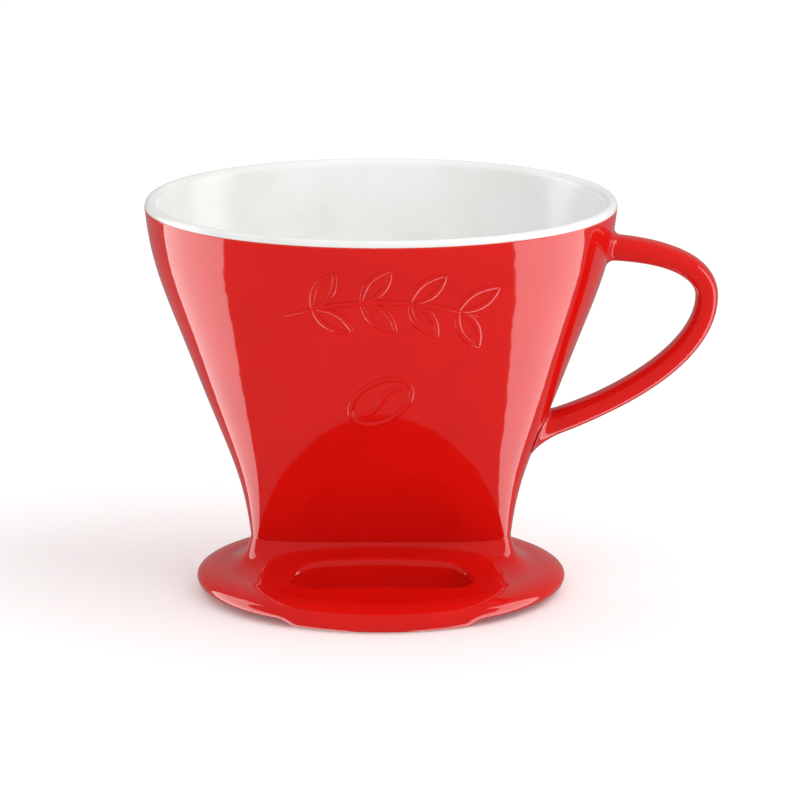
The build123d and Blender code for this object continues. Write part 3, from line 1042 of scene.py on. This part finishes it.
@dataclass
class BasePlate:
    """The saucer with its two windows, its two lips, and the slip joint round the funnel's foot."""

    rule: FunnelRule
    glaze: Glaze
    radius: float = 50.5 * MM
    middle: float = 2.2 * MM  # height of the edge's outermost line
    roll_width: float = 8.0 * MM
    roll_height: float = 3.1 * MM
    low_width: float = 1.9 * MM
    rise: float = 2.73 * MM  # the top's even rise from the rolled edge to the foot
    settle: float = 0.08  # the share of the way over which that rise sets in
    sweep: float = 4.75 * MM  # the top's further rise close to the foot
    sweep_power: float = 4.0
    bead: float = 1.4 * MM  # the slip joint's rise over that
    bead_width: float = 2.5 * MM
    window_half: float = 17.0 * MM  # half the distance between the centres of a window's round ends
    window_round: float = 7.5 * MM
    window_y: float = 21.5 * MM
    window_top_edge: float = 1.5 * MM
    window_low_edge: float = 0.8 * MM
    lip_drop: float = 1.7 * MM
    lip_half: float = 23.8 * MM
    lip_fade: float = 4.4 * MM
    lip_inner: float = 44.5 * MM
    lip_slope: float = 0.8 * MM
    foot_inset: float = 0.5 * MM
    foot_low_edge: float = 0.5 * MM
    around: int = 320
    spacing: float = 0.3 * MM  # the least gap from a window's rounded edge to the next point

    def window(self, side: float, out: float) -> np.ndarray:
        """The outline of a window, grown outwards.

        Args:
            side: -1 for the front window, or 1 for the back one.
            out: how far outside the window's own edge.
        """
        r = self.window_round + out
        half = math.pi / 2
        turns = np.linspace(-half, half, 49)
        right = np.column_stack([self.window_half + r * np.cos(turns), r * np.sin(turns)])
        along = np.linspace(self.window_half, -self.window_half, 41)[1:-1]
        top = np.column_stack([along, np.full(len(along), r)])
        loop = np.concatenate([right, top, -right, -top])
        return loop + np.array([0.0, side * self.window_y])

    def foot(self, out: float) -> np.ndarray:
        """The funnel foot's outline, grown outwards."""
        a, b = self.rule.foot_half_width + out, self.rule.foot_half_depth + out
        return oval(a, b, self.rule.foot_full, self.around)

    def from_foot(self, points: np.ndarray) -> np.ndarray:
        """How far each point lies outside the foot's outline, and below 0 inside it."""
        loop = oval(self.rule.foot_half_width, self.rule.foot_half_depth, self.rule.foot_full, 1024)
        ends = np.roll(loop, -1, axis=0)
        side = ends - loop
        best = np.full(len(points), np.inf)
        inside = np.zeros(len(points), bool)
        for start, way, end in zip(loop, side, ends):
            offset = points - start
            t = np.clip(offset @ way / (way @ way), 0, 1)
            best = np.minimum(best, np.hypot(*(offset - t[:, None] * way).T))
            crosses = (start[1] > points[:, 1]) != (end[1] > points[:, 1])
            level = np.where(crosses, way[1], 1.0)
            inside ^= crosses & (offset[:, 0] < (points[:, 1] - start[1]) / level * way[0])
        return np.where(inside, -best, best)

    def from_window(self, points: np.ndarray) -> np.ndarray:
        """How far each point lies outside the nearer window's edge, and below 0 inside it."""
        x = np.maximum(np.abs(points[:, 0]) - self.window_half, 0)
        y = np.abs(points[:, 1]) - self.window_y
        return np.hypot(x, y) - self.window_round

    def round_off(self, out: np.ndarray, size: float) -> np.ndarray:
        """How far a rounded edge has dropped at a distance from it."""
        share = np.clip(1 - out / size, 0, 1)
        return size * (1 - np.sqrt(1 - share**2))

    def top(self, points: np.ndarray) -> np.ndarray:
        """The height of the plate's top at each point."""
        r = np.hypot(*points.T)
        inner = self.radius - self.roll_width
        out = np.clip((r - inner) / self.roll_width, 0, 1)
        roll = self.middle + self.roll_height * np.sqrt(1 - out**2)
        foot = np.maximum(self.from_foot(points), 0)
        gap = np.maximum(inner - r, 0)
        s = gap / np.maximum(gap + foot, 0.1 * MM)
        even = s - self.settle * (1 - np.exp(-s / self.settle))
        near = np.clip(1 - foot / self.bead_width, 0, 1)
        z = roll + self.rise * even + self.sweep * s**self.sweep_power + self.bead * near**3
        return z - self.round_off(self.from_window(points), self.window_top_edge)

    def low(self, points: np.ndarray) -> np.ndarray:
        """The height of the plate's underside at each point."""
        r = np.hypot(*points.T)
        fade = np.clip((self.lip_half + self.lip_fade - np.abs(points[:, 0])) / self.lip_fade, 0, 1)
        lip = self.lip_drop * fade**1.6
        edge = np.clip((r - self.radius + self.low_width) / self.low_width, 0, 1)
        drop = (self.middle + lip) * np.sqrt(1 - edge**2)
        inner = smooth((r - self.lip_inner + self.lip_slope) / (2 * self.lip_slope))
        under = self.middle - drop + lip * (1 - inner)
        under += self.round_off(self.from_window(points), self.window_low_edge)
        return under + self.round_off(self.from_foot(points) + self.foot_inset, self.foot_low_edge)

    def skin(self, loops: Sequence[np.ndarray], free: np.ndarray) -> tuple[np.ndarray, np.ndarray]:
        """Joins closed loops and free points into triangles, and leaves out the holes.

        Args:
            loops: closed loops that the triangles keep as edges.
            free: other points.

        Returns:
            The points and the triangles, with the loops' points first and in order.
        """
        edges = []
        start = 0
        for loop in loops:
            n = len(loop)
            edges += [(start + i, start + (i + 1) % n) for i in range(n)]
            start += n
        plan = [Vector(p / MM) for p in np.concatenate([*loops, free])]
        found = delaunay_2d_cdt(plan, edges, [], 0, 1e-5)
        placed = np.array([tuple(v) for v in found[0]]) * MM
        triangles = np.array([list(f) for f in found[2]])
        centre = placed[triangles].mean(axis=1)
        solid = (self.from_window(centre) > 0) & (self.from_foot(centre) > -self.foot_inset)
        solid &= np.hypot(*centre.T) < self.radius
        return placed, triangles[solid]

    def between(self, rim: float, foot: float, shares: np.ndarray, clear: float) -> np.ndarray:
        """Free points on ovals that change from a circle into the foot's outline.

        Args:
            rim: the circle's radius.
            foot: how far outside the foot's outline the last oval would lie.
            shares: how far each oval has changed.
            clear: how far the points keep from the windows.
        """
        wide = oval(rim, rim, ROUND, self.around)
        points = np.concatenate([mix(wide, self.foot(foot), share) for share in shares])
        return points[self.from_window(points) > clear]

    def build(self) -> bpy.types.Object:
        """Makes the plate."""
        turns = np.arange(self.around) / self.around * TAU
        ring = np.column_stack([np.cos(turns), np.sin(turns)])
        foot = self.foot(-self.foot_inset)
        bounds = [self.radius * ring, foot, self.window(-1, 0), self.window(1, 0)]
        top_loops, low_loops = list(bounds), list(bounds)
        bend = [1 - math.cos(a) for a in np.linspace(0, math.pi / 2, 9)[1:]]
        top_loops += [(self.radius - self.roll_width * b) * ring for b in bend]
        low_loops += [(self.radius - self.low_width * b) * ring for b in bend]
        for side in (-1, 1):
            top_loops += [self.window(side, self.window_top_edge * b) for b in bend]
            low_loops += [self.window(side, self.window_low_edge * b) for b in bend]
        low_loops += [(self.lip_inner + s * self.lip_slope) * ring for s in np.linspace(-1, 1, 9)]
        low_loops += [self.foot(self.foot_low_edge * b - self.foot_inset) for b in bend]
        clear = self.window_top_edge + self.spacing
        shares = 1 - np.linspace(0, 1, 34)[1:-1] ** 1.7
        free = self.between(self.radius - self.roll_width, -self.foot_inset, shares, clear)
        top_points, top_faces = self.skin(top_loops, free)
        clear = self.window_low_edge + self.spacing
        shares = np.linspace(0, 1, 16)[:-1]
        free = self.between(self.lip_inner - 2 * MM, 2 * self.spacing, shares, clear)
        low_points, low_faces = self.skin(low_loops, free)
        top = np.column_stack([top_points, self.top(top_points)])
        low = np.column_stack([low_points, self.low(low_points)])
        count = len(top)
        faces = top_faces.tolist() + (low_faces[:, ::-1] + count).tolist()
        start = 0
        for loop in bounds:
            n = len(loop)
            for i in range(n):
                a, b = start + i, start + (i + 1) % n
                faces.append([b, a, count + a, count + b])
            start += n
        piece = mesh_object("saucer_base_plate", np.concatenate([top, low]), faces)
        clean(piece, 0.002 * MM)
        piece.data.materials.append(self.glaze.material())
        return dress(piece, "red_glaze_plate", "base_plate", "base_slip_joint")


@dataclass
class Relief:
    """The raised drawing on the front wall: a leafy sprig, with a coffee bean under it."""

    skin: bpy.types.Object
    glaze: Glaze
    stroke: float = 0.85 * MM  # half the width of a full stroke
    height: float = 0.6 * MM
    root: float = 0.35 * MM  # how deep the strokes' hidden side lies in the wall
    step: float = 0.35 * MM
    sprig_z: float = 84.0 * MM
    sprig_half: float = 26.0 * MM
    sprig_arch: float = 5.0 * MM
    leaf_pairs: int = 4
    leaf_length: float = 12.5 * MM
    leaf_half: float = 2.3 * MM
    leaf_lean: float = math.radians(48)
    leaf_tip: float = 0.45  # the width left at the ends of a leaf's strokes
    bean_z: float = 58.0 * MM
    bean_half_length: float = 9.2 * MM
    bean_half_width: float = 5.9 * MM
    bean_tilt: float = math.radians(35)
    bean_lap: float = 0.06  # how far the bean's stroke runs past its start, in turns
    bean_start: float = 0.4
    bean_tip: float = 0.6
    groove_share: float = 0.8  # the groove's length, as a share of the bean's
    groove_bow: float = 1.3 * MM

    def stroke_line(
        self, points: np.ndarray, place: tuple[float, float], turn: float, thin: float = 0.35
    ) -> list[tuple[float, float, float]]:
        """A pen stroke that is thin at both ends.

        Args:
            points: the stroke about its own origin.
            place: where that origin goes.
            turn: how far it is turned, in radians.
            thin: the width at its ends, as a share of the full width.
        """
        cos, sin = math.cos(turn), math.sin(turn)
        share = np.linspace(0, 1, len(points))
        width = thin + (1 - thin) * np.sin(math.pi * share) ** 0.6
        x = place[0] + points[:, 0] * cos - points[:, 1] * sin
        z = place[1] + points[:, 0] * sin + points[:, 1] * cos
        return list(zip(x.tolist(), z.tolist(), width.tolist()))

    def arch(self, x: float) -> tuple[float, float]:
        """The stem's height and its slope at x."""
        share = x / self.sprig_half
        height = self.sprig_z + self.sprig_arch * (1 - share**2)
        return height, math.atan(-2 * self.sprig_arch * share / self.sprig_half)

    def lines(self) -> list[list[tuple[float, float, float]]]:
        """Every stroke of the drawing."""
        across = np.linspace(-self.sprig_half, self.sprig_half, 61)
        stem = np.array([(x, self.arch(float(x))[0]) for x in across])
        strokes = [self.stroke_line(stem, (0.0, 0.0), 0.0)]
        t = np.linspace(0, 1, 25)
        for i in range(self.leaf_pairs):
            x = mix(-self.sprig_half, self.sprig_half, (i + 0.6) / self.leaf_pairs)
            height, slope = self.arch(x)
            for lean in (self.leaf_lean, -self.leaf_lean):
                for bow in (1, -1):
                    side = bow * self.leaf_half * np.sin(math.pi * t) ** 0.85
                    edge = np.column_stack([t * self.leaf_length, side])
                    strokes.append(self.stroke_line(edge, (x, height), slope + lean, self.leaf_tip))
        a = np.linspace(-self.bean_lap, 1.0, 61) * TAU + self.bean_start
        ring = np.column_stack([self.bean_half_length * np.cos(a), self.bean_half_width * np.sin(a)])
        strokes.append(self.stroke_line(ring, (0.0, self.bean_z), self.bean_tilt, self.bean_tip))
        u = np.linspace(-1, 1, 31)
        half = self.bean_half_length * self.groove_share
        groove = np.column_stack([u * half, self.groove_bow * np.sin(math.pi * u)])
        strokes.append(self.stroke_line(groove, (0.0, self.bean_z), self.bean_tilt))
        return strokes

    def build(self) -> bpy.types.Object:
        """Makes the relief."""
        lay = RaisedLines(
            "raised_sprig_and_bean",
            self.skin,
            Side.OUTSIDE_FRONT,
            half_width=self.stroke,
            height=self.height,
            root=self.root,
            glaze=self.glaze.material(),
            step=self.step,
        )
        return dress(lay.build(self.lines()), "red_glaze_relief", "relief_mark")


# ---- studio


@dataclass(frozen=True)
class SoftBox:
    """A large soft lamp that faces the dripper.

    Sizes and places are in metres, and angles in degrees: azimuth from the camera's direction
    towards +X, and elevation above the table.
    """

    name: str
    azimuth: float
    elevation: float
    distance: float
    width: float
    height: float
    radiance: float
    mirrored: bool = True  # mirrored in the glaze, or else only lighting the colour under it


@dataclass
class Studio:
    """A pale table, a bright surround, soft lamps and the camera."""

    target: Point = (0.0, 0.0, 0.0553)
    distance: float = 2.0
    elevation: float = 13.33
    lens: float = 329.0
    shift: tuple[float, float] = (0.0238, -0.0185)
    table: float = -1.7 * MM
    table_half: float = 3.0
    table_paint: MattPaint = MattPaint("matt_white_table", "FAFAFA", 0.9, 0.1)
    # Painted shade: a dark card under the plate, seen only in the glaze's reflections, stands in for the
    # shadowed table there.
    shade_card_radius: float = 47.0 * MM
    shade_card_lift: float = 0.05 * MM
    shade_card_around: int = 64
    shade_card_paint: MattPaint = MattPaint("matt_dark_card", "401010", 1.0)
    surround: float = 0.88
    mirrored_surround: float = 0.3
    boxes: tuple[SoftBox, ...] = (
        SoftBox("left_strip", -107.0, -20.0, 0.9, 0.66, 3.2, 2.9),
        SoftBox("right_strip", 94.0, -20.0, 0.9, 0.60, 3.2, 2.9),
        SoftBox("key", 65.0, 50.0, 1.6, 1.2, 1.2, 1.9, False),
    )

    def point_from(self, azimuth: float, elevation: float, distance: float) -> Vector:
        """A point seen from the target at an azimuth and an elevation, in degrees."""
        a, e = math.radians(azimuth), math.radians(elevation)
        level = math.cos(e) * distance
        return Vector(self.target) + Vector(
            (level * math.sin(a), -level * math.cos(a), math.sin(e) * distance)
        )

    def aim(self, thing: bpy.types.Object, place: Vector) -> None:
        """Puts a camera or lamp at a place and points it at the target."""
        thing.location = place
        way = Vector(self.target) - place
        thing.rotation_euler = way.to_track_quat("-Z", "Y").to_euler()
        bpy.context.scene.collection.objects.link(thing)

    def build_camera(self) -> None:
        """Makes the camera."""
        data = bpy.data.cameras.new("camera")
        data.lens = self.lens
        data.sensor_width = 36.0
        data.shift_x, data.shift_y = self.shift
        camera = bpy.data.objects.new("camera", data)
        self.aim(camera, self.point_from(0.0, self.elevation, self.distance))
        bpy.context.scene.camera = camera

    def build_lamps(self) -> None:
        """Makes the soft boxes."""
        for box in self.boxes:
            data = bpy.data.lights.new(box.name, "AREA")
            data.shape = "RECTANGLE"
            data.size = box.width
            data.size_y = box.height
            data.energy = box.radiance * math.pi * box.width * box.height
            lamp = bpy.data.objects.new(box.name, data)
            lamp.visible_glossy = box.mirrored
            lamp.visible_diffuse = not box.mirrored
            self.aim(lamp, self.point_from(box.azimuth, box.elevation, box.distance))

    def build_surround(self) -> None:
        """Makes the bright surround, which glossy surfaces see dimmed, as between white flags."""
        world = bpy.data.worlds.new("surround")
        bpy.context.scene.world = world
        world.use_nodes = True
        world.node_tree.nodes.clear()
        add = partial(add_node, world.node_tree)
        ray = add("ShaderNodeLightPath").outputs
        seen = {"Value": ray["Is Camera Ray"], "To Min": self.surround, "To Max": 1.0}
        lit = add("ShaderNodeMapRange", seen)
        mirrored = {"Value": ray["Is Glossy Ray"], "To Min": lit, "To Max": self.mirrored_surround}
        strength = add("ShaderNodeMapRange", mirrored)
        glow = add("ShaderNodeBackground", {"Color": (1.0, 1.0, 1.0, 1.0), "Strength": strength})
        add("ShaderNodeOutputWorld", {"Surface": glow})

    def build_table(self) -> None:
        """Makes the pale table top, and a dark card of painted shade under the plate, which only the
        glaze's reflections see, in place of the shadowed table there.
        """
        half = self.table_half
        corners = [(-half, -half), (half, -half), (half, half), (-half, half)]
        points = np.array([(x, y, self.table) for x, y in corners])
        table = mesh_object("pale_table", points, [(0, 1, 2, 3)])
        table.data.materials.append(self.table_paint.material())
        table.visible_glossy = False
        # The card is painted shade: only glossy rays see it, as they would see the shadowed table under
        # the plate.
        turns = np.arange(self.shade_card_around) / self.shade_card_around * TAU
        high = np.full(self.shade_card_around, self.table + self.shade_card_lift)
        rim = np.column_stack([self.shade_card_radius * np.cos(turns), self.shade_card_radius * np.sin(turns), high])
        shade_card = mesh_object("dark_card_under_plate", rim, [range(self.shade_card_around)])
        shade_card.data.materials.append(self.shade_card_paint.material())
        shade_card.visible_camera = shade_card.visible_diffuse = shade_card.visible_shadow = False

    def build(self) -> None:
        """Makes the whole studio."""
        bpy.context.scene.view_settings.view_transform = "Standard"
        self.build_surround()
        self.build_table()
        self.build_lamps()
        self.build_camera()


@dataclass
class Dripper:
    """The whole dripper, put together from its sub-assemblies."""

    funnel: Funnel
    red: Glaze

    def build(self) -> list[bpy.types.Object]:
        """Makes every piece."""
        pieces = self.funnel.build()
        skin = self.funnel.skin()
        rule = self.funnel.rule
        pieces.append(Handle(rule, skin, self.red).build())
        plate_glaze = replace(self.red, name="red_gloss_glaze_over_bare_foot", bare_below=-1.35 * MM)
        pieces.append(BasePlate(rule, plate_glaze).build())
        pieces.append(Relief(skin, self.red).build())
        bpy.data.objects.remove(skin)
        return pieces


def main() -> None:
    """Builds the dripper and its studio."""
    logging.basicConfig(level=logging.INFO, format="%(message)s")
    Studio().build()
    rule = FunnelRule(lip_top=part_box("funnel_body")[1].z)
    white = Glaze("white_gloss_glaze", Tint.WHITE, Tint.WHITE_WARM, Tint.WHITE, 0.22, ripple_mm=9.0)
    red = Glaze("red_gloss_glaze", Tint.RED, Tint.RED_DEEP, Tint.RED_THIN)
    coat = replace(red, name="red_gloss_glaze_thin_at_lip", thin_above=rule.lip_top - 2.6 * MM)
    for piece in Dripper(Funnel(rule, white, coat), red).build():
        piece.data.calc_loop_triangles()
        log.info("%s: %d triangles", piece.name, len(piece.data.loop_triangles))
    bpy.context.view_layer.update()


if __name__ == "__main__":
    main()
